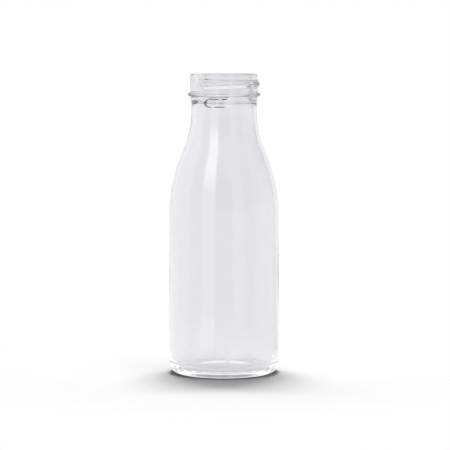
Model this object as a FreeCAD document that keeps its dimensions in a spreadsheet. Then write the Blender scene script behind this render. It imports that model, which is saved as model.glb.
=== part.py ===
"""Clear glass bottle for milk or juice, blown in one piece, with a continuous-thread neck.

The glass is one revolved solid with a revolved cavity cut out of it. The neck finish has a rounded
lip, one right-handed thread of less than a turn that runs out at both ends, and a bead under it.
The bore is narrower than the neck and opens out below the bead. The underside is hollow, and the
bottle stands on a narrow flat ring.

Frame: millimetres, +Z up along the bottle's axis, origin at the middle of the base plane.
"""

import FreeCAD, Part

import math
import os

import Sketcher

NODE = "glass_bottle"

# alias, value in millimetres or degrees, what it is
SIZES = (
    ("overall_height", 155.0, "base plane to the top of the lip"),
    ("heel_diameter", 57.6, "outside, where the heel's curve meets the wall"),
    ("shoulder_diameter", 56.7, "outside, where the wall meets the shoulder's curve"),
    ("heel_radius", 5.6, "outside curve from the wall to the bearing ring"),
    ("shoulder_radius", 88.0, "outward curve of the shoulder"),
    ("neck_radius", 45.8, "inward curve below the neck"),
    ("neck_diameter", 33.8, "outside of the neck"),
    ("neck_upright", 0.9, "upright stretch of the neck between its curve and the bore's step"),
    ("wall", 2.2, "thickness of the glass in neck, shoulder and body"),
    ("inner_heel_radius", 4.6, "inside curve from the wall to the floor"),
    ("floor_height", 3.3, "base plane to the edge of the inside floor"),
    ("floor_rise", 1.6, "how far the floor rises from its edge to its middle"),
    ("push_up", 2.1, "base plane to the middle of the hollow underside"),
    ("bearing_width", 2.4, "flat ring that the bottle stands on"),
    ("bearing_radius", 1.5, "rounded inner edge of that ring"),
    ("finish_diameter", 35.0, "outside wall of the neck finish"),
    ("collar_drop", 6.0, "from the bead's middle down to where the finish has narrowed to the neck"),
    ("bore_diameter", 26.8, "mouth of the bottle"),
    ("bore_depth", 6.8, "from the lip down to where the bore opens out"),
    ("bore_step", 12.0, "height over which it opens out to the neck"),
    ("lip_outer_radius", 1.2, "outer edge of the lip"),
    ("lip_inner_radius", 1.3, "inner edge of the lip"),
    ("bead_diameter", 37.7, "outside of the bead under the thread"),
    ("bead_drop", 10.7, "from the lip down to the middle of the bead"),
    ("bead_thickness", 2.1, "height of the bead"),
    ("bead_root", 0.5, "radius where the bead meets the wall"),
    ("thread_diameter", 37.3, "outside of the thread"),
    ("thread_width", 2.9, "height of the thread's section"),
    ("thread_pitch", 4.23, "rise of the thread in a full turn, six threads to the inch"),
    ("thread_drop", 6.95, "from the lip down to the middle of the thread's low end"),
    ("thread_start", 216.0, "angle of the low end about the axis, degrees from +X"),
    ("thread_turn", 300.0, "angle that the thread covers, degrees"),
    ("thread_bury", 0.8, "how deep the back of the thread lies in the wall"),
)

# Where the neck starts to curve out: the bore and its step come before it, whatever their lengths.
NECK_FOOT = "sizes.overall_height - sizes.bore_depth - sizes.bore_step - sizes.neck_upright"

# The most that either rounded edge of the lip may take of the wall at the mouth.
LIP_SHARE = "0.45 * (sizes.finish_diameter - sizes.bore_diameter) / 2"

# The thread is lofted in spans, each through a few sections, because a loft that turns further
# than a right angle twists. RUN_OUT is how much of its height sinks into the wall at the sections
# from either end.
THREAD_SPANS = 5
SPAN_STEPS = 5
THREAD_STEPS = THREAD_SPANS * SPAN_STEPS
RUN_OUT = (1.1, 0.55, 0.1)

NEAR = 1e-4

doc = FreeCAD.newDocument("Bottle")


def make_sheet():
    """The driving sizes, one row each: alias, value, what it is."""
    sheet = doc.addObject("Spreadsheet::Sheet", "sizes")
    for row, (alias, value, meaning) in enumerate(SIZES, 1):
        sheet.set(f"A{row}", alias)
        sheet.set(f"B{row}", f"{value:g}")
        sheet.setAlias(f"B{row}", alias)
        sheet.set(f"C{row}", meaning)
    doc.recompute()
    return sheet


sizes = make_sheet()


def size(alias):
    """A driving size as a plain number."""
    return float(sizes.get(alias))


class Outline:
    """A sketch drawn as one closed chain of lines and arcs, on the body's XZ plane.

    Its x is the distance from the bottle's axis and its y is the height. The places given are near
    enough to start with: the constraints set them.
    """

    START, END, CENTRE = 1, 2, 3

    def __init__(self, body, name):
        plane = next(f for f in body.Origin.OriginFeatures if f.Role == "XZ_Plane")
        self.sketch = body.newObject("Sketcher::SketchObject", name)
        self.sketch.AttachmentSupport = [(plane, "")]
        self.sketch.MapMode = "FlatFace"
        self.ways = []

    def line(self, first, last):
        """A straight edge from first to last."""
        self.ways.append((self.START, self.END))
        edge = Part.LineSegment(FreeCAD.Vector(*first, 0), FreeCAD.Vector(*last, 0))
        return self.sketch.addGeometry(edge, False)

    def arc(self, centre, radius, first, last):
        """An arc from angle first to angle last, in degrees."""
        self.ways.append((self.START, self.END) if last > first else (self.END, self.START))
        circle = Part.Circle(FreeCAD.Vector(*centre, 0), FreeCAD.Vector(0, 0, 1), radius)
        low, high = sorted((math.radians(first), math.radians(last)))
        return self.sketch.addGeometry(Part.ArcOfCircle(circle, low, high), False)

    def first(self, edge):
        """The end where the chain reaches an edge."""
        return edge, self.ways[edge][0]

    def last(self, edge):
        """The end where the chain leaves an edge."""
        return edge, self.ways[edge][1]

    def centre(self, edge):
        """The centre of an arc."""
        return edge, self.CENTRE

    def constrain(self, kind, *where):
        """Adds one constraint and returns its number."""
        return self.sketch.addConstraint(Sketcher.Constraint(kind, *where))

    def close(self, smooth):
        """Joins each edge to the next one. Those in smooth run on tangent into the next."""
        count = len(self.ways)
        for edge in range(count):
            kind = "Tangent" if edge in smooth else "Coincident"
            self.constrain(kind, *self.last(edge), *self.first((edge + 1) % count))

    def drive(self, name, formula, kind, *where):
        """A dimension that follows a formula in the sheet's sizes."""
        number = self.constrain(kind, *where)
        self.sketch.renameConstraint(number, name)
        self.sketch.setExpression(f"Constraints.{name}", formula)

    def across(self, name, formula, point):
        """Drives the distance of a point from the bottle's axis."""
        self.drive(name, formula, "DistanceX", -1, self.START, *point, self.now(point).x)

    def height(self, name, formula, point):
        """Drives the height of a point."""
        self.drive(name, formula, "DistanceY", -1, self.START, *point, self.now(point).y)

    def radius(self, name, formula, edge):
        """Drives the radius of an arc."""
        self.drive(name, formula, "Radius", edge, self.sketch.Geometry[edge].Radius)

    def on_axis(self, point):
        """Holds a point on the bottle's axis."""
        self.constrain("PointOnObject", *point, -2)

    def now(self, point):
        """Where a point is now."""
        edge, end = point
        shape = self.sketch.Geometry[edge]
        if end == self.CENTRE:
            return shape.Center
        return shape.StartPoint if end == self.START else shape.EndPoint

    def solved(self):
        """The sketch, once nothing in it is open or contradictory."""
        doc.recompute()
        if self.sketch.solve() != 0 or not self.sketch.FullyConstrained:
            raise ValueError(f"sketch {self.sketch.Name} isn't fully solved")
        return self.sketch


def polar(centre, radius, angle):
    """The point at an angle, in degrees, on a circle."""
    turn = math.radians(angle)
    return centre[0] + radius * math.cos(turn), centre[1] + radius * math.sin(turn)


def side_curves():
    """Where the tangent chain of the outside lies: wall, shoulder's arc, neck's arc, upright neck.

    Returns the wall's lean and the angle at which the two arcs meet, in degrees, and their centres.
    """
    neck_length = size("bore_depth") + size("bore_step") + size("neck_upright")
    neck_centre = (size("neck_diameter") / 2 + size("neck_radius"),
                   size("overall_height") - neck_length)
    reach = size("shoulder_radius") + size("neck_radius")
    narrowing = (size("heel_diameter") - size("shoulder_diameter")) / 2
    lean = 0.0
    for _ in range(5):
        centre_x = size("shoulder_diameter") / 2 - size("shoulder_radius") * math.cos(lean)
        turn = math.acos((neck_centre[0] - centre_x) / reach)
        centre_z = neck_centre[1] - reach * math.sin(turn)
        lean = math.atan(narrowing / (centre_z - size("heel_radius")))
    return math.degrees(lean), math.degrees(turn), (centre_x, centre_z), neck_centre


def add_side(outline, heel_centre, heel_radius, inset):
    """Draws heel, wall, shoulder, neck curve and upright neck, all moved in from the outside."""
    lean, turn, shoulder_centre, neck_centre = side_curves()
    shoulder_radius = size("shoulder_radius") - inset
    neck_radius = size("neck_radius") + inset
    neck_top = size("overall_height") - size("bead_drop") - size("collar_drop")
    neck_foot = polar(neck_centre, neck_radius, 180)
    heel = outline.arc(heel_centre, heel_radius, -90, lean)
    wall = outline.line(polar(heel_centre, heel_radius, lean),
                        polar(shoulder_centre, shoulder_radius, lean))
    shoulder = outline.arc(shoulder_centre, shoulder_radius, lean, turn)
    curve = outline.arc(neck_centre, neck_radius, 180 + turn, 180)
    neck = outline.line(neck_foot, (neck_foot[0], neck_top))
    return heel, wall, shoulder, curve, neck


def turned(body, kind, name, outline):
    """A feature that turns an outline a full turn about the bottle's axis."""
    feature = body.newObject(f"PartDesign::{kind}", name)
    feature.Profile = outline.solved()
    feature.ReferenceAxis = (outline.sketch, ["V_Axis"])
    feature.Angle = 360
    doc.recompute()
    return feature


def add_outside(body):
    """The glass filled solid: hollow underside, bearing ring, heel, body, shoulder, neck, finish."""
    outline = Outline(body, "outside_outline")
    push_up = size("push_up")
    ring_outside = size("heel_diameter") / 2 - size("heel_radius")
    ring_inside = ring_outside - size("bearing_width")
    round_radius = size("bearing_radius")
    hollow_radius = ring_inside**2 / (2 * push_up)
    finish = size("finish_diameter") / 2
    top = size("overall_height")
    collar_top = top - size("bead_drop")

    slope = math.degrees(math.asin(ring_inside / hollow_radius))
    hollow = outline.arc((0, push_up - hollow_radius), hollow_radius, 90, 90 - slope)
    inner_round = outline.arc((ring_inside, round_radius), round_radius, -90 - slope, -90)
    ring = outline.line((ring_inside, 0), (ring_outside, 0))
    heel, wall, shoulder, curve, neck = add_side(
        outline, (ring_outside, size("heel_radius")), size("heel_radius"), 0)
    collar = outline.line((size("neck_diameter") / 2, collar_top - size("collar_drop")),
                          (finish, collar_top))
    rim = outline.line((finish, collar_top), (finish, top))
    lip = outline.line((finish, top), (0, top))
    outline.line((0, top), (0, push_up))
    outline.close(smooth={hollow, inner_round, ring, heel, wall, shoulder, curve})

    outline.on_axis(outline.centre(hollow))
    outline.on_axis(outline.first(hollow))
    outline.height("push_up", "sizes.push_up", outline.first(hollow))
    outline.radius("inner_round", "sizes.bearing_radius", inner_round)
    outline.constrain("Horizontal", ring)
    outline.constrain("PointOnObject", *outline.first(ring), -1)
    outline.drive("ring", "sizes.bearing_width", "DistanceX",
                  *outline.first(ring), *outline.last(ring), size("bearing_width"))
    outline.radius("heel", "sizes.heel_radius", heel)
    outline.across("wall_foot", "sizes.heel_diameter / 2", outline.first(wall))
    outline.across("wall_top", "sizes.shoulder_diameter / 2", outline.last(wall))
    outline.radius("shoulder", "sizes.shoulder_radius", shoulder)
    outline.radius("curve", "sizes.neck_radius", curve)
    outline.constrain("Vertical", neck)
    outline.across("neck", "sizes.neck_diameter / 2", outline.first(neck))
    outline.height("neck_foot", NECK_FOOT, outline.first(neck))
    outline.height("collar_foot", "sizes.overall_height - sizes.bead_drop - sizes.collar_drop",
                   outline.first(collar))
    outline.height("collar_top", "sizes.overall_height - sizes.bead_drop", outline.last(collar))
    outline.across("finish", "sizes.finish_diameter / 2", outline.last(collar))
    outline.constrain("Vertical", rim)
    outline.constrain("Horizontal", lip)
    outline.height("top", "sizes.overall_height", outline.last(lip))
    outline.on_axis(outline.last(lip))
    return turned(body, "Revolution", "outside", outline)


def add_cavity(body):
    """The inside: domed floor, then a wall of even thickness up to the bore.

    The bore joins the neck through two equal arcs, narrowing or widening as their diameters ask.
    """
    outline = Outline(body, "cavity_outline")
    wall_thickness = size("wall")
    radius = size("inner_heel_radius")
    floor = size("floor_height")
    floor_edge = size("heel_diameter") / 2 - wall_thickness - radius
    dome_radius = floor_edge**2 / (2 * size("floor_rise"))
    slope = math.degrees(math.asin(floor_edge / dome_radius))
    bore = size("bore_diameter") / 2
    neck_inside = size("neck_diameter") / 2 - wall_thickness
    step_top = size("overall_height") - size("bore_depth")
    step_foot = step_top - size("bore_step")
    inward = 1 if neck_inside > bore else -1
    step_turn = 2 * math.atan(abs(neck_inside - bore) / size("bore_step"))
    step_radius = size("bore_step") / (2 * math.sin(step_turn))
    turn = inward * math.degrees(step_turn)
    low_start = 0 if inward > 0 else 180
    high_end = 180 - low_start
    above = size("overall_height") + 2 * wall_thickness

    dome = outline.arc((0, floor + size("floor_rise") - dome_radius), dome_radius, 90, 90 - slope)
    heel, wall, shoulder, curve, neck = add_side(
        outline, (floor_edge, floor + radius), radius, wall_thickness)
    step_low = outline.arc((neck_inside - inward * step_radius, step_foot), step_radius,
                           low_start, low_start + turn)
    step_high = outline.arc((bore + inward * step_radius, step_top), step_radius,
                            high_end + turn, high_end)
    mouth = outline.line((bore, step_top), (bore, above))
    lid = outline.line((bore, above), (0, above))
    outline.line((0, above), (0, floor + size("floor_rise")))
    outline.close(smooth={heel, wall, shoulder, curve, neck, step_low, step_high})

    outline.on_axis(outline.centre(dome))
    outline.on_axis(outline.first(dome))
    outline.height("dome", "sizes.floor_height + sizes.floor_rise", outline.first(dome))
    outline.height("floor_edge", "sizes.floor_height", outline.last(dome))
    outline.constrain("Vertical", *outline.last(dome), *outline.centre(heel))
    outline.radius("heel", "sizes.inner_heel_radius", heel)
    outline.across("wall_foot", "sizes.heel_diameter / 2 - sizes.wall", outline.first(wall))
    outline.across("wall_top", "sizes.shoulder_diameter / 2 - sizes.wall", outline.last(wall))
    outline.radius("shoulder", "sizes.shoulder_radius - sizes.wall", shoulder)
    outline.radius("curve", "sizes.neck_radius + sizes.wall", curve)
    outline.constrain("Vertical", neck)
    outline.across("neck", "sizes.neck_diameter / 2 - sizes.wall", outline.first(neck))
    outline.height("neck_foot", NECK_FOOT, outline.first(neck))
    outline.height("step_foot", "sizes.overall_height - sizes.bore_depth - sizes.bore_step",
                   outline.first(step_low))
    outline.height("step_top", "sizes.overall_height - sizes.bore_depth", outline.last(step_high))
    outline.constrain("Vertical", mouth)
    outline.across("bore", "sizes.bore_diameter / 2", outline.first(mouth))
    outline.constrain("Equal", step_low, step_high)
    outline.constrain("Horizontal", lid)
    outline.height("above", "sizes.overall_height + 2 * sizes.wall", outline.last(lid))
    outline.on_axis(outline.last(lid))
    return turned(body, "Groove", "cavity", outline)


def add_bead(body):
    """The bead under the thread, with a half-round nose."""
    outline = Outline(body, "bead_outline")
    half = size("bead_thickness") / 2
    middle = size("overall_height") - size("bead_drop")
    nose_x = size("bead_diameter") / 2 - half
    back_x = size("finish_diameter") / 2 - size("thread_bury")
    low = outline.line((back_x, middle - half), (nose_x, middle - half))
    nose = outline.arc((nose_x, middle), half, -90, 90)
    high = outline.line((nose_x, middle + half), (back_x, middle + half))
    back = outline.line((back_x, middle + half), (back_x, middle - half))
    outline.close(smooth={low, nose})

    outline.constrain("Horizontal", low)
    outline.constrain("Horizontal", high)
    outline.constrain("Vertical", back)
    outline.radius("nose", "sizes.bead_thickness / 2", nose)
    outline.across("nose_centre", "sizes.bead_diameter / 2 - sizes.bead_thickness / 2",
                   outline.centre(nose))
    outline.height("middle", "sizes.overall_height - sizes.bead_drop", outline.centre(nose))
    outline.across("back", "sizes.finish_diameter / 2 - sizes.thread_bury", outline.first(back))
    return turned(body, "Revolution", "bead", outline)


def thread_section(body, step):
    """One section of the thread, a half-round nose on a straight back, at its place on the helix."""
    outline = Outline(body, f"thread_section_{step}")
    steps_to_end = min(step, THREAD_STEPS - step)
    sink = RUN_OUT[steps_to_end] if steps_to_end < len(RUN_OUT) else 0
    half = size("thread_width") / 2
    proud = (size("thread_diameter") - size("finish_diameter")) / 2
    nose_x = size("thread_diameter") / 2 - half - sink * proud
    back_x = size("finish_diameter") / 2 - size("thread_bury") - sink * proud
    low = outline.line((back_x, -half), (nose_x, -half))
    nose = outline.arc((nose_x, 0), half, -90, 90)
    high = outline.line((nose_x, half), (back_x, half))
    back = outline.line((back_x, half), (back_x, -half))
    outline.close(smooth={low, nose})

    sunk = f"{sink} * (sizes.thread_diameter - sizes.finish_diameter) / 2"
    outline.constrain("Horizontal", low)
    outline.constrain("Horizontal", high)
    outline.constrain("Vertical", back)
    outline.constrain("PointOnObject", *outline.centre(nose), -1)
    outline.radius("nose", "sizes.thread_width / 2", nose)
    outline.across("nose_centre", f"(sizes.thread_diameter - sizes.thread_width) / 2 - {sunk}",
                   outline.centre(nose))
    outline.across("back", f"sizes.finish_diameter / 2 - sizes.thread_bury - {sunk}",
                   outline.first(back))
    share = step / THREAD_STEPS
    angle = size("thread_start") + size("thread_turn") * share
    about_axis = FreeCAD.Rotation(FreeCAD.Vector(0, 1, 0), angle)
    outline.sketch.AttachmentOffset = FreeCAD.Placement(FreeCAD.Vector(), about_axis)
    rise = f"sizes.thread_pitch * sizes.thread_turn * {share} / 360"
    outline.sketch.setExpression("AttachmentOffset.Base.y",
                                 f"sizes.overall_height - sizes.thread_drop + {rise}")
    outline.sketch.setExpression("AttachmentOffset.Rotation.Angle",
                                 f"(sizes.thread_start + sizes.thread_turn * {share}) * 1 deg")
    return outline.solved()


def add_thread(body):
    """The right-handed thread, lofted along the helix and run out into the wall at both ends."""
    sections = [thread_section(body, step) for step in range(THREAD_STEPS + 1)]
    for span in range(THREAD_SPANS):
        first = span * SPAN_STEPS
        thread = body.newObject("PartDesign::AdditiveLoft", f"thread_span_{span}")
        thread.Profile = sections[first]
        thread.Sections = sections[first + 1:first + SPAN_STEPS + 1]
        doc.recompute()
        check(thread, 1)


def circle_names(shape, radius, height):
    """Names of the edges that are circles about the bottle's axis at this radius and height."""
    names = []
    for number, edge in enumerate(shape.Edges, 1):
        if edge.Degenerated or not isinstance(edge.Curve, Part.Circle):
            continue
        if abs(edge.Curve.Radius - radius) < NEAR and abs(edge.Curve.Center.z - height) < NEAR:
            names.append(f"Edge{number}")
    if not names:
        raise ValueError(f"no circle of radius {radius} at height {height}")
    return names


def add_round(body, name, radius, circles):
    """A fillet of a radius in sizes along circles of the body, each given as (radius, height)."""
    base = body.Tip
    fillet = body.newObject("PartDesign::Fillet", name)
    edges = [edge for circle in circles for edge in circle_names(base.Shape, *circle)]
    fillet.Base = (base, edges)
    fillet.setExpression("Radius", radius)
    doc.recompute()
    return fillet


def check(feature, sign):
    """Stops unless a feature added glass (+1) or took some away (-1)."""
    change = feature.Shape.Volume - feature.BaseFeature.Shape.Volume
    if change * sign <= 0:
        raise ValueError(f"{feature.Name} changed the volume by {change}")


def build_bottle():
    """The whole bottle as one body."""
    body = doc.addObject("PartDesign::Body", NODE)
    body.Label = NODE
    body.Placement = FreeCAD.Placement()
    top = size("overall_height")
    finish = size("finish_diameter") / 2
    add_outside(body)
    check(add_bead(body), 1)
    bead_top = top - size("bead_drop") + size("bead_thickness") / 2
    add_round(body, "bead_root", "sizes.bead_root", [(finish, bead_top)])
    check(add_cavity(body), -1)
    add_round(body, "lip_outer", f"min(sizes.lip_outer_radius; {LIP_SHARE})", [(finish, top)])
    add_round(body, "lip_inner", f"min(sizes.lip_inner_radius; {LIP_SHARE})",
              [(size("bore_diameter") / 2, top)])
    add_thread(body)
    doc.recompute()
    return body


def write(bodies):
    """Checks the document and each body, then writes one STEP file for each."""
    for item in doc.Objects:
        if "Invalid" in item.State or "Error" in item.State:
            raise ValueError(f"{item.Name} failed: {item.State}")
    for body in bodies:
        shape = body.Shape
        if shape.isNull() or not shape.isValid() or len(shape.Solids) != 1:
            raise ValueError(f"{body.Label} isn't one valid solid")
    os.makedirs("parts", exist_ok=True)
    for body in bodies:
        body.Shape.exportStep(f"parts/{body.Label}.step")
        box = body.Shape.optimalBoundingBox()
        print(f"{body.Label}: {box.XLength:.2f} x {box.YLength:.2f} x {box.ZLength:.2f} mm, "
              f"glass {body.Shape.Volume / 1000:.1f} cm3, {len(body.Shape.Faces)} faces")


write([build_bottle()])
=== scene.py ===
"""Looks of the clear glass bottle: its surface, its glass, and a plain white studio around it.

Laid out as an add-on: property groups hold the sizes and finishes, one operator makes the glass,
one sets the stage, and a panel lists them. Lengths are in metres, angles in degrees, +Z is up.
"""

import math

import bpy
import numpy as np
from bpy.props import FloatProperty, FloatVectorProperty, IntProperty, PointerProperty
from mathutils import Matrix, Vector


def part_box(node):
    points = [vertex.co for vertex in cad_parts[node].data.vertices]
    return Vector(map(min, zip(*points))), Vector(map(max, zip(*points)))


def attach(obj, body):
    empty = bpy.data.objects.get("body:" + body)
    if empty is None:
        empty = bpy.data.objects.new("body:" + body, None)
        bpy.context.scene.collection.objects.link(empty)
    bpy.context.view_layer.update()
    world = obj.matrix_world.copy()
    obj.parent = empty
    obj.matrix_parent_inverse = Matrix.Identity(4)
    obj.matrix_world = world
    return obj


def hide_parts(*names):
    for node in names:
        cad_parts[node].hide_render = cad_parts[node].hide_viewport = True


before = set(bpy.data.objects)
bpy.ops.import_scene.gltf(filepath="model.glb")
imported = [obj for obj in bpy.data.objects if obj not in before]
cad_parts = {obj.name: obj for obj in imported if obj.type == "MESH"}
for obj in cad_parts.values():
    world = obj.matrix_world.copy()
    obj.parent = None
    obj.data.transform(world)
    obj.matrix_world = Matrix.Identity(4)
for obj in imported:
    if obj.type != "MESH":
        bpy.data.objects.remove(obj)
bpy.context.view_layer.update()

bl_info = {
    "name": "Glass Bottle",
    "version": (1, 0, 0),
    "blender": (4, 5, 0),
    "location": "View3D > Sidebar > Bottle",
    "description": "A clear glass bottle with a screw-thread neck, in a white studio",
    "category": "Add Mesh",
}

NODE = "glass_bottle"
PIECE = "bottle_glass"
NODE_LOW, NODE_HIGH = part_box(NODE)
MILLIMETRE = 0.001
FLOOR_SIDES = 96
FLOOR_GAP = 0.05 * MILLIMETRE

# The sines of the wall's waves: turns round the bottle, radians per metre of height, how many
# times the phase, and weight.
WAVES = np.array([(2, 55, 1.0, 1.0), (3, -85, 2.1, 0.6), (5, 140, 3.7, 0.4)])
INNER_PHASE = 0.7
OUTER_PHASE = 1.9


def length(name, value, description):
    """A size in millimetres as a property in metres."""
    return FloatProperty(name=name, description=description, default=value * MILLIMETRE,
                         unit="LENGTH", precision=4)


def angle(name, value, description):
    """An angle in degrees as a property in radians."""
    return FloatProperty(name=name, description=description, default=math.radians(value),
                         unit="ROTATION")


def number(name, value, description):
    """A plain number as a property."""
    return FloatProperty(name=name, description=description, default=value)


def span(name, low, high, description, unit=1.0):
    """Where something begins and where it is complete, as one property of two numbers."""
    return FloatVectorProperty(name=name, description=description, size=2, precision=4,
                               default=(low * unit, high * unit))


def colour(name, value, description):
    """A colour as a property."""
    return FloatVectorProperty(name=name, description=description, subtype="COLOR", size=3,
                               min=0, max=1, default=value)


class BottleSizes(bpy.types.PropertyGroup):
    """The sizes that shape the bottle, apart from its height and width, which the frame gives."""

    shoulder_diameter: length("Shoulder", 56.7, "Outside, at the foot of the shoulder's curve")
    heel_radius: length("Heel", 5.6, "Outside curve from the wall to the bearing ring")
    shoulder_radius: length("Shoulder curve", 88.0, "Outward curve of the shoulder")
    neck_radius: length("Neck curve", 45.8, "Inward curve below the neck")
    neck_diameter: length("Neck", 33.8, "Outside of the neck")
    neck_upright: length("Upright neck", 0.9, "Between the neck's curve and the bore's step")
    wall: length("Wall", 2.2, "Thickness of the glass in neck, shoulder and body")
    inner_heel_radius: length("Inner heel", 4.6, "Inside curve from the wall to the floor")
    floor_height: length("Floor", 3.3, "Base plane to the edge of the inside floor")
    floor_rise: length("Floor rise", 1.6, "How far the floor rises from its edge to its middle")
    push_up: length("Push-up", 2.1, "Base plane to the middle of the hollow underside")
    bearing_width: length("Bearing ring", 2.4, "Flat ring that the bottle stands on")
    bearing_radius: length("Bearing edge", 1.5, "Rounded inner edge of that ring")
    finish_diameter: length("Finish", 35.0, "Outside wall of the neck finish")
    collar_drop: length("Collar", 6.0, "From the bead down to where the finish becomes the neck")
    bore_diameter: length("Bore", 26.8, "Mouth of the bottle")
    bore_depth: length("Bore depth", 6.8, "From the lip down to where the bore opens out")
    bore_step: length("Bore step", 12.0, "Height over which the bore opens out to the neck")
    pip_count: IntProperty(name="Pips", description="Small shallow pips round the heel", default=13)
    pip_height: length("Pip", 0.35, "How deep each pip is sunk")
    pip_radius: length("Pip's radius", 0.95, "Outside of a pip at its foot")
    pip_place: length("Pip's place", 10.5, "Base plane to the ring of pips")
    pip_first: angle("First pip", 274.0, "Angle of one of the pips about the axis")
    grip_count: IntProperty(name="Grips", description="Shallow scallops in the bearing ring",
                            default=24)
    grip_height: length("Grip", 0.25, "How deep those scallops are")
    dent_depth: length("Dent", 0.85, "How deep the shallow dent inside the neck is")
    dent_top: length("Dent's top", 12.6, "From the lip down to the dent")
    dent_length: length("Dent's length", 5.2, "Height of the dent")
    dent_upper: length("Dent's upper edge", 1.1, "Height over which the dent begins")
    dent_lower: length("Dent's lower edge", 1.0, "Height over which it ends")
    dent_start: angle("Dent's start", 226.0, "Angle where the dent begins about the axis")
    dent_turn: angle("Dent's turn", 60.0, "Angle that it covers")
    dent_left: angle("Dent's left edge", 14.0, "Angle over which it begins")
    dent_round: angle("Dent's round end", 9.0, "How much sooner its middle begins than its corners")
    dent_waist: angle("Dent's waist", 23.0, "Where it is shallower, from its start")
    dent_waist_half: angle("Half the waist", 7.0, "Angle from the waist's middle to its end")
    dent_waist_depth: number("Waist's depth", 0.4, "Share of the dent's depth lost at its waist")
    dent_right: angle("Dent's right edge", 20.0, "Angle over which it ends")
    lip_outer_radius: length("Lip outside", 1.2, "Outer edge of the lip")
    lip_inner_radius: length("Lip inside", 1.3, "Inner edge of the lip")
    bead_diameter: length("Bead", 37.7, "Outside of the bead under the thread")
    bead_drop: length("Bead drop", 10.7, "From the lip down to the middle of the bead")
    bead_thickness: length("Bead thickness", 2.1, "Height of the bead")
    bead_root: length("Bead root", 0.5, "Radius where the bead meets the wall")
    thread_diameter: length("Thread", 37.3, "Outside of the thread")
    thread_width: length("Thread width", 4.2, "Height of the thread's section at its root")
    thread_pitch: length("Thread pitch", 4.23, "Rise of the thread in a full turn")
    thread_drop: length("Thread drop", 6.95, "From the lip down to the thread's low end")
    thread_start: angle("Thread start", 216.0, "Angle of the low end about the axis")
    thread_turn: angle("Thread turn", 300.0, "Angle that the thread covers")
    thread_run_in: angle("Run-in", 10.0, "Angle over which the low end rises from the wall")
    thread_run_out: angle("Run-out", 26.0, "Angle over which the high end sinks into the wall")


class GlassFinish(bpy.types.PropertyGroup):
    """How the glass looks, and the fine uneven forms of its surface."""

    tint: colour("Tint", (0.947, 0.945, 0.965), "Colour of the light that comes through")
    soak: colour("Soak", (0.5, 0.5, 0.52), "Colour that a stretch of glass lets through")
    soak_density: number("Soak density", 30.0, "How soon the glass soaks up light")
    ior: number("IOR", 1.52, "Index of refraction of the glass")
    roughness: number("Roughness", 0.0, "Roughness of the fire-polished surface")
    ripple_scale: number("Ripple scale", 60.0, "Scale of the faint ripple's noise")
    ripple_strength: number("Ripple strength", 0.2, "How strongly the ripple bends the light")
    ripple_height: length("Ripple", 0.1, "Height of the ripple at full strength")
    # Painted light: how brightly the glass glows on paths that are cut short, low and high.
    trapped_low: number("Trapped, low", 0.9, "Light on paths that stay in the heel's glass")
    trapped_high: number("Trapped, high", 0.15, "Light on paths that stay in the glass above it")
    trapped_rise: span("Trapped, rise", 12.0, 50.0, "Heights from the one to the other", MILLIMETRE)
    last_bounce: number("Last bounce", 11.5, "Bounces after which a path counts as trapped")
    last_mirror: number("Last mirror", 3.5, "The same for reflections alone")
    inner_waves: length("Inner waves", 0.06, "Height of the slow waves on the inside of the wall")
    outer_waves: length("Outer waves", 0.012, "Height of the slow waves on its outside")
    columns: IntProperty(name="Columns", description="Faces around the bottle", default=312, min=24)


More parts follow.
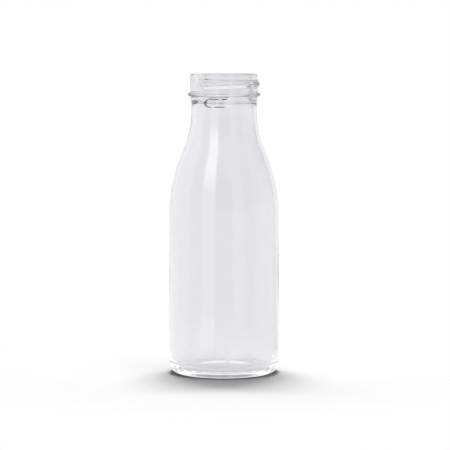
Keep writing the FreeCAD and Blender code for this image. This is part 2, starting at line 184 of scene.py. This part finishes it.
class StudioSettings(bpy.types.PropertyGroup):
    """The camera, the lamps and the white surroundings.

    Bearings are 0 towards the camera and grow to the right. Steepness is the height of a direction
    of length 1.
    """

    camera_distance: length("Distance", 934.0, "Camera to the bottle's axis, level")
    camera_height: length("Height", 135.5, "Camera above the floor")
    camera_right: length("To the right", 0.5, "Camera to the right of the bottle's axis")
    camera_pitch: angle("Pitch", 3.60, "How far the camera looks down")
    camera_lens: number("Lens", 144.2, "Focal length in millimetres")
    floor_radius: length("Floor radius", 4000.0, "Radius of the floor's disc")
    lit_radius: length("Lit floor", 75.0, "Around the bottle the floor shows its light and shade")
    white_radius: length("White floor", 150.0, "Beyond this the floor is plain white")
    near_floor: span("Near floor", 50.0, 350.0, "Distances over which the floor that the glass "
                     "shows goes from white to the surroundings", MILLIMETRE)
    # Painted shade: the floor that the glass shows is darker beneath the bottle, for the bottle's
    # shadow there.
    under_floor: span("Floor beneath", 25.0, 31.0, "Distances over which the floor under the "
                      "bottle goes up to its full brightness", MILLIMETRE)
    under_level: number("Beneath", 0.75, "Brightness of the floor under the bottle")
    left_side: span("Left side", -85.0, -68.0, "Bearings over which the white left side ends",
                    math.radians(1))
    right_side: span("Right side", 50.0, 125.0, "Bearings over which the right side brightens",
                     math.radians(1))
    back_side: span("Back", 110.0, 150.0, "Bearings over which the back turns white",
                    math.radians(1))
    panel_outer: span("Panel, outer edge", -52.0, -48.0, "Bearings of the white panel's far edge",
                      math.radians(1))
    panel_inner: span("Panel, inner edge", -22.0, -18.0, "Bearings of its edge by the camera",
                      math.radians(1))
    panel_outside: number("Panel, outside", 0.45, "Brightness from the panel to the left side")
    panel_glare: number("Panel, glare", 1.2, "Further brightness of the panel's upper part")
    glare_rise: span("Glare, rise", 0.2, 0.5, "Steepness over which that part begins")
    right_low: number("Right, low", 0.75, "Brightness of the right side, level")
    right_high: number("Right, high", 0.3, "Brightness of the right side, above")
    right_rise: span("Right, rise", 0.0, 0.5, "Steepness from the one to the other")
    front_low: number("Front, low", 0.35, "Brightness of the floor in front")
    front_high: number("Front, high", 0.07, "Brightness around the camera")
    front_rise: span("Front, rise", 0.0, 0.12, "Steepness from the one to the other")
    overhead_level: number("Overhead", 0.15, "Share of the brightness that is left overhead")
    overhead_rise: span("Overhead, rise", 0.6, 0.85, "Steepness over which it falls to that")
    shadow_share: number("Shadow", 0.4, "Share of the surroundings that lights the floor by way "
                         "of the glass")
    dome: number("Dome", 0.2, "Light on the floor from all around")
    lamp_power: number("Lamp", 5.2, "Power of the softbox in watts")
    lamp_width: length("Lamp's width", 342.0, "Softbox, from side to side")
    lamp_depth: length("Lamp's depth", 119.0, "Softbox, from front to back")
    lamp_right: length("Lamp, to the right", 7.0, "How far right of the bottle it hangs")
    lamp_back: length("Lamp, behind", 225.0, "How far behind the bottle it hangs")
    lamp_height: length("Lamp's height", 847.0, "Softbox above the floor")
    wide_power: number("Ceiling", 3.5, "Power of the wide ceiling lamp in watts")
    wide_width: length("Ceiling's width", 1594.0, "Ceiling lamp, from side to side")
    wide_depth: length("Ceiling's depth", 425.0, "Ceiling lamp, from front to back")
    wide_right: length("Ceiling, to the right", 40.0, "How far right of the bottle it hangs")
    wide_back: length("Ceiling, behind", 32.0, "How far behind the bottle it hangs")
    wide_height: length("Ceiling's height", 943.0, "Ceiling lamp above the floor")


def arc(centre, radius, first, last, count):
    """Points on a circle: centre + radius (cos a, sin a), for a from first to last in degrees."""
    turn = np.radians(np.linspace(first, last, count))
    return np.stack([centre[0] + radius * np.cos(turn), centre[1] + radius * np.sin(turn)], axis=1)


def line(first, last, count):
    """Points spaced evenly from first to last."""
    share = np.linspace(0.0, 1.0, count)[:, None]
    return np.array(first) * (1 - share) + np.array(last) * share


def ease(share):
    """0 up to share 0, 1 from share 1, and 3 s^2 - 2 s^3 between."""
    share = np.clip(share, 0.0, 1.0)
    return share * share * (3 - 2 * share)


def side_curves(sizes, heel, top):
    """Where the outside's tangent chain lies: leaning wall, shoulder's arc, neck's arc, neck.

    The two arcs touch where both have turned by the same angle from level, whose cosine is the
    level distance of their centres over the sum of their radii. The wall is the shoulder arc's
    tangent, so its lean follows from the narrowing over its length.
    """
    neck_length = sizes.bore_depth + sizes.bore_step + sizes.neck_upright
    neck_centre = (sizes.neck_diameter / 2 + sizes.neck_radius, top - neck_length)
    reach = sizes.shoulder_radius + sizes.neck_radius
    lean = 0.0
    for _ in range(5):
        centre_x = sizes.shoulder_diameter / 2 - sizes.shoulder_radius * math.cos(lean)
        turn = math.acos((neck_centre[0] - centre_x) / reach)
        centre_z = neck_centre[1] - reach * math.sin(turn)
        lean = math.atan((heel - sizes.shoulder_diameter / 2) / (centre_z - sizes.heel_radius))
    return math.degrees(lean), math.degrees(turn), (centre_x, centre_z), neck_centre


def outside_stretches(sizes, heel, top):
    """The outside as named stretches of (distance from the axis, height), from underside to lip.

    The hollow underside is an arc about the axis that touches the ring's rounded edge from above:
    with ring edge (x, q), edge radius q and push-up p, its radius is (x^2 + (q - p)^2 - q^2) / 2p.
    """
    lean, turn, shoulder_centre, neck_centre = side_curves(sizes, heel, top)
    heel_centre = (heel - sizes.heel_radius * math.cos(math.radians(lean)), sizes.heel_radius)
    ring_inside = heel_centre[0] - sizes.bearing_width
    edge = sizes.bearing_radius
    offset = edge - sizes.push_up
    hollow = (ring_inside**2 + offset**2 - edge**2) / (2 * sizes.push_up)
    slope = math.degrees(math.asin(ring_inside / (hollow + edge)))
    neck = sizes.neck_diameter / 2
    finish = sizes.finish_diameter / 2
    bead_middle = top - sizes.bead_drop
    bead_half = sizes.bead_thickness / 2
    bead_nose = sizes.bead_diameter / 2 - bead_half
    root = sizes.bead_root
    collar_foot = bead_middle - sizes.collar_drop
    root_foot = bead_middle - bead_half - root
    collar = line((neck, collar_foot), (neck, root_foot), 16)
    collar[:, 0] += (finish - neck) * ease((collar[:, 1] - collar_foot) / sizes.collar_drop)
    collar_end = collar[-1, 0]
    wall_foot = arc(heel_centre, sizes.heel_radius, lean, lean, 1)[0]
    wall_top = arc(shoulder_centre, sizes.shoulder_radius, lean, lean, 1)[0]
    share = (sizes.pip_place - wall_foot[1] + np.array([-1.0, 1.0]) * sizes.pip_radius) / (
        wall_top[1] - wall_foot[1])
    pip_low, pip_high = wall_foot + share[:, None] * (wall_top - wall_foot)
    lip = sizes.lip_outer_radius
    lip_inner = sizes.lip_inner_radius
    bore = sizes.bore_diameter / 2
    return [
        ("underside", arc((0, sizes.push_up - hollow), hollow, 90, 90 - slope, 12)),
        ("underside", arc((ring_inside, edge), edge, -90 - slope, -90, 7)),
        ("ring", line((ring_inside, 0), (heel_centre[0], 0), 5)),
        ("heel", arc(heel_centre, sizes.heel_radius, -90, lean, 16)),
        ("side", line(wall_foot, pip_low, 4)),
        ("side", line(pip_low, pip_high, 9)),
        ("side", line(pip_high, wall_top, 10)),
        ("side", arc(shoulder_centre, sizes.shoulder_radius, lean, turn, 22)),
        ("side", arc(neck_centre, sizes.neck_radius, 180 + turn, 180, 14)),
        ("side", line((neck, neck_centre[1]), (neck, collar_foot), 8)),
        ("side", collar),
        ("bead", arc((collar_end + root, root_foot), root, 180, 90, 5)),
        ("bead", arc((bead_nose, bead_middle), bead_half, -90, 90, 13)),
        ("bead", arc((finish + root, bead_middle + bead_half + root), root, 270, 180, 5)),
        ("finish", line((finish, bead_middle + bead_half + root), (finish, top - lip), 44)),
        ("lip", arc((finish - lip, top - lip), lip, 0, 90, 8)),
        ("lip", line((finish - lip, top), (bore + lip_inner, top), 3)),
        ("lip", arc((bore + lip_inner, top - lip_inner), lip_inner, 90, 180, 8)),
    ]


def inside_stretches(sizes, heel, top):
    """The inside from the mouth down to the middle of the floor, as far in as the wall is thick.

    The bore opens out through two equal arcs that turn by 2 atan(width / height) of the step.
    """
    lean, turn, shoulder_centre, neck_centre = side_curves(sizes, heel, top)
    wall = sizes.wall
    bore = sizes.bore_diameter / 2
    neck = sizes.neck_diameter / 2 - wall
    step_top = top - sizes.bore_depth
    step_foot = step_top - sizes.bore_step
    step_turn = 2 * math.atan((neck - bore) / sizes.bore_step)
    step_radius = sizes.bore_step / (2 * math.sin(step_turn))
    step_turn = math.degrees(step_turn)
    heel_radius = sizes.inner_heel_radius
    heel_x = heel - wall - heel_radius * math.cos(math.radians(lean))
    heel_centre = (heel_x, sizes.floor_height + heel_radius)
    dome = (heel_x**2 + sizes.floor_rise**2) / (2 * sizes.floor_rise)
    dome_slope = math.degrees(math.asin(heel_x / dome))
    shoulder = sizes.shoulder_radius - wall
    wall_foot = arc(heel_centre, heel_radius, lean, lean, 1)[0]
    wall_top = arc(shoulder_centre, shoulder, lean, lean, 1)[0]
    return [
        ("bore", line((bore, top - sizes.lip_inner_radius), (bore, step_top), 6)),
        ("bore", arc((bore + step_radius, step_top), step_radius, 180, 180 + step_turn, 10)),
        ("bore", arc((neck - step_radius, step_foot), step_radius, step_turn, 0, 36)),
        ("bore", line((neck, step_foot), (neck, neck_centre[1]), 3)),
        ("inside", arc(neck_centre, sizes.neck_radius + wall, 180, 180 + turn, 14)),
        ("inside", arc(shoulder_centre, shoulder, turn, lean, 22)),
        ("inside", line(wall_top, wall_foot, 16)),
        ("inside", arc(heel_centre, heel_radius, lean, -90, 12)),
        ("floor", arc((0, sizes.floor_height + sizes.floor_rise - dome), dome,
                      90 - dome_slope, 90, 14)),
    ]


def joined(stretches):
    """One profile from stretches that share end points, and the name of each point's stretch."""
    points = [stretches[0][1][:1]] + [stretch[1:] for _, stretch in stretches]
    names = [stretches[0][0]] + [name for name, stretch in stretches for _ in stretch[1:]]
    return np.concatenate(points), np.array(names)


def thread_radius(sizes, top, around, height):
    """Distance of the finish wall from the axis, with the thread on it.

    The thread's section is a soft swell whose middle climbs by one pitch in a turn, and it sinks
    into the wall at both ends, quickly at the low one.
    """
    wall = sizes.finish_diameter / 2
    run = np.mod(around - sizes.thread_start, 2 * math.pi)
    middle = top - sizes.thread_drop + sizes.thread_pitch * run / (2 * math.pi)
    ends = ease(run / sizes.thread_run_in) * ease((sizes.thread_turn - run) / sizes.thread_run_out)
    swell = ease(1 - np.abs(height - middle) / (sizes.thread_width / 2))
    return wall + (sizes.thread_diameter / 2 - wall) * ends * swell


def pips(sizes, radius, around, height):
    """How deep the ring of small round pips above the heel is sunk into the glass."""
    pitch = 2 * math.pi / sizes.pip_count
    sideways = (np.mod(around - sizes.pip_first + pitch / 2, pitch) - pitch / 2) * radius
    distance = np.hypot(sideways, height - sizes.pip_place)
    return sizes.pip_height * ease(1 - distance / sizes.pip_radius)


def dent(sizes, top, around, height):
    """How deep the shallow dent inside the neck is: a window round times a window down.

    Its left end is rounded, and it has a waist where it is shallower.
    """
    down = top - sizes.dent_top - height
    run = np.mod(around - sizes.dent_start, 2 * math.pi)
    rounded = run - sizes.dent_round * (2 * down / sizes.dent_length - 1)**2
    sideways = ease(rounded / sizes.dent_left) * ease((sizes.dent_turn - run) / sizes.dent_right)
    upright = ease(down / sizes.dent_upper) * ease((sizes.dent_length - down) / sizes.dent_lower)
    waist = ease(1 - np.abs(run - sizes.dent_waist) / sizes.dent_waist_half)
    return sizes.dent_depth * sideways * upright * (1 - sizes.dent_waist_depth * waist)


def waves(around, height, phase):
    """Slow uneven waves of a blown wall, between -1 and 1: a weighted mean of sines."""
    total = sum(weight * np.sin(turns * around + rise * height + part * phase)
                for turns, rise, part, weight in WAVES)
    return total / WAVES[:, 3].sum()


def bottle_surface(sizes, finish):
    """The whole surface as rows of points around the axis, from pole to pole.

    Row i, column j lies at (r cos a, r sin a, z) with a the column's angle and r, z the profile's
    point, where r also carries the thread and the waves.
    """
    top = NODE_HIGH[2]
    heel = (NODE_HIGH[0] - NODE_LOW[0]) / 2
    outside = outside_stretches(sizes, heel, top)
    profile, names = joined(outside + inside_stretches(sizes, heel, top))
    around = np.arange(finish.columns) * (2 * math.pi / finish.columns)
    radius = np.repeat(profile[:, :1], finish.columns, axis=1)
    height = np.repeat(profile[:, 1:], finish.columns, axis=1)
    threaded = names == "finish"
    radius[threaded] = thread_radius(sizes, top, around[None, :], height[threaded])
    bored = names == "bore"
    radius[bored] += dent(sizes, top, around[None, :], height[bored])
    inner = names == "inside"
    radius[inner] += finish.inner_waves * waves(around[None, :], height[inner], INNER_PHASE)
    outer = names == "side"
    swell = waves(around[None, :], height[outer], OUTER_PHASE)
    radius[outer] += finish.outer_waves * (swell - 1)
    radius[outer] -= pips(sizes, heel, around[None, :], height[outer])
    standing = names == "ring"
    height[standing] += sizes.grip_height * (0.5 - 0.5 * np.cos(sizes.grip_count * around))
    return np.stack([radius * np.cos(around), radius * np.sin(around), height], axis=2)


def closed_mesh(name, rows):
    """A closed mesh of quads between the rows, with the first and last row each one pole."""
    count, columns = rows.shape[:2]
    ring = np.arange(columns)
    after = np.roll(ring, -1)
    start = 1 + np.arange(count - 2)[:, None] * columns
    lower, upper = start[:-1], start[1:]
    quads = np.stack([lower + ring, lower + after, upper + after, upper + ring], axis=2)
    last = (count - 2) * columns + 1
    first_fan = np.stack([np.zeros(columns, int), after + 1, ring + 1], axis=1)
    last_fan = np.stack([np.full(columns, last), ring + start[-1], after + start[-1]], axis=1)
    points = np.concatenate([rows[0, :1], rows[1:-1].reshape(-1, 3), rows[-1, :1]])
    faces = first_fan.tolist() + quads.reshape(-1, 4).tolist() + last_fan.tolist()
    mesh = bpy.data.meshes.new(name)
    mesh.from_pydata(points, [], faces)
    mesh.shade_smooth()
    return mesh


class Nodes:
    """Short calls for building a node tree."""

    def __init__(self, tree):
        self.tree = tree
        tree.nodes.clear()

    def add(self, kind, settings=None, **inputs):
        """A node with settings as its attributes and inputs by socket name, values or sockets."""
        node = self.tree.nodes.new(kind)
        for key, value in (settings or {}).items():
            setattr(node, key, value)
        for key, value in inputs.items():
            self.feed(node, key.replace("_", " "), value)
        return node

    def feed(self, node, socket, value):
        """Sets or links one input, found by its name or its number."""
        target = node.inputs[int(socket) if socket.isdigit() else socket]
        if isinstance(value, bpy.types.NodeSocket):
            self.tree.links.new(value, target)
        else:
            target.default_value = value

    def sum(self, kind, *values):
        """A Math node over its values or sockets."""
        node = self.add("ShaderNodeMath", {"operation": kind})
        for number, value in enumerate(values):
            self.feed(node, str(number), value)
        return node.outputs[0]


def ramp(nodes, value, reach, first=0.0, last=1.0):
    """Eases from first, where the value is at most reach[0], to last, from reach[1] on."""
    return nodes.add("ShaderNodeMapRange", {"interpolation_type": "SMOOTHSTEP"}, Value=value,
                     From_Min=reach[0], From_Max=reach[1], To_Min=first, To_Max=last).outputs[0]


def surroundings(nodes, direction, studio):
    """How bright the studio is in a direction from the bottle, 1 being white.

    White behind and beside the bottle, dim in front around the camera and overhead, with a tall
    white panel to the left of the camera. Each white place is a window over the bearing, and the
    brightest of them counts.
    """
    parts = nodes.add("ShaderNodeSeparateXYZ", Vector=direction).outputs
    bearing = nodes.sum("ARCTAN2", parts["X"], nodes.sum("MULTIPLY", parts["Y"], -1.0))
    up = parts["Z"]
    right = nodes.sum("MULTIPLY", ramp(nodes, bearing, studio.right_side),
                      ramp(nodes, up, studio.right_rise, studio.right_low, studio.right_high))
    inner = ramp(nodes, bearing, studio.panel_inner, 1, 0)
    panel = nodes.sum("MULTIPLY", ramp(nodes, bearing, studio.panel_outer), inner)
    white = ramp(nodes, bearing, studio.left_side, 1, 0)
    for place in (right, panel, nodes.sum("MULTIPLY", inner, studio.panel_outside),
                  ramp(nodes, bearing, studio.back_side)):
        white = nodes.sum("MAXIMUM", white, place)
    front = ramp(nodes, up, studio.front_rise, studio.front_low, studio.front_high)
    level = nodes.sum("MULTIPLY_ADD", white, nodes.sum("SUBTRACT", 1.0, front), front)
    level = nodes.sum("MULTIPLY", level,
                      ramp(nodes, up, studio.overhead_rise, 1, studio.overhead_level))
    glare = nodes.sum("MULTIPLY", panel, ramp(nodes, up, studio.glare_rise, 0, studio.panel_glare))
    return nodes.sum("ADD", level, glare)


def fresh(nodes, path, studio):
    """1 on a ray that hasn't met the floor yet, and less on light from the glass to its shadow."""
    return nodes.sum("MULTIPLY_ADD", nodes.sum("LESS_THAN", path["Diffuse Depth"], 0.5),
                     1 - studio.shadow_share, studio.shadow_share)


def glass_material(finish):
    """Clear flint glass with the faint ripple of a blown and fire-polished surface.

    The renderer drops a path after its last bounce, which would blacken the heel and the beads.
    There the glass glows: painted light in place of the light that such a path would have found.
    """
    material = bpy.data.materials.new("flint_glass")
    material.use_nodes = True
    nodes = Nodes(material.node_tree)
    shader = nodes.add("ShaderNodeBsdfPrincipled", Base_Color=(*finish.tint, 1),
                       Roughness=finish.roughness, IOR=finish.ior, Transmission_Weight=1.0)
    shader.inputs["Emission Color"].default_value = (1, 1, 1, 1)
    place = nodes.add("ShaderNodeTexCoord").outputs["Object"]
    ripple = nodes.add("ShaderNodeTexNoise", Vector=place, Scale=finish.ripple_scale,
                       Detail=0.0)
    bump = nodes.add("ShaderNodeBump", Strength=finish.ripple_strength,
                     Distance=finish.ripple_height, Height=ripple.outputs["Fac"])
    nodes.feed(shader, "Normal", bump.outputs["Normal"])
    # Painted light: on paths cut short the glass glows, brighter in the heel than above it.
    path = nodes.add("ShaderNodeLightPath").outputs
    mirrored = nodes.add("ShaderNodeFresnel", IOR=finish.ior).outputs[0]
    last = nodes.sum("GREATER_THAN", path["Glossy Depth"], finish.last_mirror)
    lost = nodes.sum("MAXIMUM", nodes.sum("MULTIPLY", last, mirrored),
                     nodes.sum("GREATER_THAN", path["Ray Depth"], finish.last_bounce))
    height = nodes.add("ShaderNodeSeparateXYZ", Vector=place).outputs["Z"]
    light = ramp(nodes, height, finish.trapped_rise, finish.trapped_low, finish.trapped_high)
    nodes.feed(shader, "Emission Strength", nodes.sum("MULTIPLY", lost, light))
    soak = nodes.add("ShaderNodeVolumeAbsorption", Color=(*finish.soak, 1),
                     Density=finish.soak_density)
    nodes.add("ShaderNodeOutputMaterial", Surface=shader.outputs[0], Volume=soak.outputs[0])
    return material


def floor_material(studio):
    """White floor: lit near the bottle, plain white far out, glossy to light off the glass, and
    with painted shade beneath the bottle in what the glass shows.
    """
    material = bpy.data.materials.new("white_floor")
    material.use_nodes = True
    nodes = Nodes(material.node_tree)
    path = nodes.add("ShaderNodeLightPath").outputs
    place = nodes.add("ShaderNodeTexCoord").outputs["Object"]
    distance = nodes.add("ShaderNodeVectorMath", {"operation": "LENGTH"})
    nodes.feed(distance, "0", place)
    distance = distance.outputs["Value"]
    far = ramp(nodes, distance, (studio.lit_radius, studio.white_radius))
    near = ramp(nodes, distance, studio.near_floor, 1, 0)
    # Painted shade: darker beneath the bottle where the glass shows the floor, for the bottle's
    # shadow.
    under = ramp(nodes, distance, studio.under_floor, studio.under_level, 1)
    mirrored = nodes.sum("MAXIMUM", path["Is Glossy Ray"], path["Is Transmission Ray"])
    direct = nodes.sum("MULTIPLY", far, path["Is Camera Ray"])
    lit = nodes.add("ShaderNodeBsdfDiffuse", Color=(0.9, 0.9, 0.9, 1))
    white = nodes.add("ShaderNodeEmission", Color=(1, 1, 1, 1), Strength=1.0)
    shown = nodes.sum("MAXIMUM", near, surroundings(nodes, place, studio))
    shown = nodes.sum("MULTIPLY", shown, nodes.sum("MULTIPLY", under, fresh(nodes, path, studio)))
    around = nodes.add("ShaderNodeEmission", Color=(1, 1, 1, 1), Strength=shown)
    seen = nodes.add("ShaderNodeMixShader", Fac=direct)
    nodes.feed(seen, "1", lit.outputs[0])
    nodes.feed(seen, "2", white.outputs[0])
    both = nodes.add("ShaderNodeMixShader", Fac=mirrored)
    nodes.feed(both, "1", seen.outputs[0])
    nodes.feed(both, "2", around.outputs[0])
    nodes.add("ShaderNodeOutputMaterial", Surface=both.outputs[0])
    return material


def studio_world(studio):
    """White for the camera, the surroundings for what the glass shows, and an even dome."""
    world = bpy.data.worlds.new("studio")
    world.use_nodes = True
    nodes = Nodes(world.node_tree)
    path = nodes.add("ShaderNodeLightPath").outputs
    mirrored = nodes.sum("MAXIMUM", path["Is Glossy Ray"], path["Is Transmission Ray"])
    direction = nodes.add("ShaderNodeTexCoord").outputs["Generated"]
    shown = nodes.sum("MULTIPLY", surroundings(nodes, direction, studio),
                      fresh(nodes, path, studio))
    dome = nodes.sum("MULTIPLY", nodes.sum("SUBTRACT", 1.0, mirrored), studio.dome)
    strength = nodes.sum("MULTIPLY_ADD", shown, mirrored, dome)
    strength = nodes.sum("MAXIMUM", strength, path["Is Camera Ray"])
    background = nodes.add("ShaderNodeBackground", Color=(1, 1, 1, 1), Strength=strength)
    nodes.add("ShaderNodeOutputWorld", Surface=background.outputs[0])
    return world


def floor_lamp(name, place, width, depth, power):
    """An oval area light that faces the bottle's foot and lights the floor alone."""
    data = bpy.data.lights.new(name, "AREA")
    data.shape = "ELLIPSE"
    data.size, data.size_y = width, depth
    data.energy = power
    lamp = bpy.data.objects.new(name, data)
    lamp.location = place
    right, back, up = place
    lamp.rotation_euler = (math.acos(up / math.hypot(*place)), 0,
                           math.atan2(-back, -right) - math.pi / 2)
    lamp.visible_camera = lamp.visible_glossy = lamp.visible_transmission = False
    bpy.context.scene.collection.objects.link(lamp)


class BOTTLE_OT_make_glass(bpy.types.Operator):
    """Make the bottle's glass as one closed surface"""

    bl_idname = "bottle.make_glass"
    bl_label = "Make the Glass"

    def execute(self, context):
        sizes = context.scene.bottle_sizes
        finish = context.scene.bottle_finish
        mesh = closed_mesh(PIECE, bottle_surface(sizes, finish))
        mesh.materials.append(glass_material(finish))
        piece = bpy.data.objects.new(PIECE, mesh)
        context.scene.collection.objects.link(piece)
        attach(piece, "root")
        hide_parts(NODE)
        return {"FINISHED"}


class BOTTLE_OT_set_stage(bpy.types.Operator):
    """Set the white floor, the surroundings, the lights and the camera"""

    bl_idname = "bottle.set_stage"
    bl_label = "Set the Stage"

    def execute(self, context):
        scene = context.scene
        studio = scene.bottle_studio
        scene.view_settings.view_transform = "Standard"
        scene.world = studio_world(studio)
        around = np.arange(FLOOR_SIDES) * (2 * math.pi / FLOOR_SIDES)
        rim = studio.floor_radius * np.stack([np.cos(around), np.sin(around)], axis=1)
        points = np.column_stack([rim, np.full(FLOOR_SIDES, -FLOOR_GAP)])
        mesh = bpy.data.meshes.new("floor")
        mesh.from_pydata(points, [], [list(range(FLOOR_SIDES))])
        mesh.materials.append(floor_material(studio))
        floor = bpy.data.objects.new("floor", mesh)
        scene.collection.objects.link(floor)

        floor_lamp("overhead_softbox", (studio.lamp_right, studio.lamp_back, studio.lamp_height),
                   studio.lamp_width, studio.lamp_depth, studio.lamp_power)
        floor_lamp("wide_ceiling", (studio.wide_right, studio.wide_back, studio.wide_height),
                   studio.wide_width, studio.wide_depth, studio.wide_power)

        data = bpy.data.cameras.new("camera")
        data.lens = studio.camera_lens
        camera = bpy.data.objects.new("camera", data)
        camera.location = (studio.camera_right, -studio.camera_distance,
                           studio.camera_height)
        camera.rotation_euler = (math.pi / 2 - studio.camera_pitch, 0, 0)
        scene.collection.objects.link(camera)
        scene.camera = camera
        return {"FINISHED"}


class BOTTLE_PT_panel(bpy.types.Panel):
    """The bottle's operators and settings in the sidebar"""

    bl_label = "Glass Bottle"
    bl_idname = "BOTTLE_PT_panel"
    bl_space_type = "VIEW_3D"
    bl_region_type = "UI"
    bl_category = "Bottle"

    def draw(self, context):
        layout = self.layout
        layout.operator(BOTTLE_OT_make_glass.bl_idname)
        layout.operator(BOTTLE_OT_set_stage.bl_idname)
        for group in (context.scene.bottle_sizes, context.scene.bottle_finish,
                      context.scene.bottle_studio):
            box = layout.box()
            for name in group.__annotations__:
                box.prop(group, name)


CLASSES = (BottleSizes, GlassFinish, StudioSettings, BOTTLE_OT_make_glass, BOTTLE_OT_set_stage,
           BOTTLE_PT_panel)


def register():
    """Registers the classes and hangs the settings on the scene."""
    for cls in CLASSES:
        bpy.utils.register_class(cls)
    bpy.types.Scene.bottle_sizes = PointerProperty(type=BottleSizes)
    bpy.types.Scene.bottle_finish = PointerProperty(type=GlassFinish)
    bpy.types.Scene.bottle_studio = PointerProperty(type=StudioSettings)


def unregister():
    """Takes the settings and classes away again."""
    del bpy.types.Scene.bottle_studio
    del bpy.types.Scene.bottle_finish
    del bpy.types.Scene.bottle_sizes
    for cls in reversed(CLASSES):
        bpy.utils.unregister_class(cls)


def main():
    """Makes the bottle and the stage."""
    register()
    bpy.ops.bottle.make_glass()
    bpy.ops.bottle.set_stage()


if __name__ == "__main__":
    main()
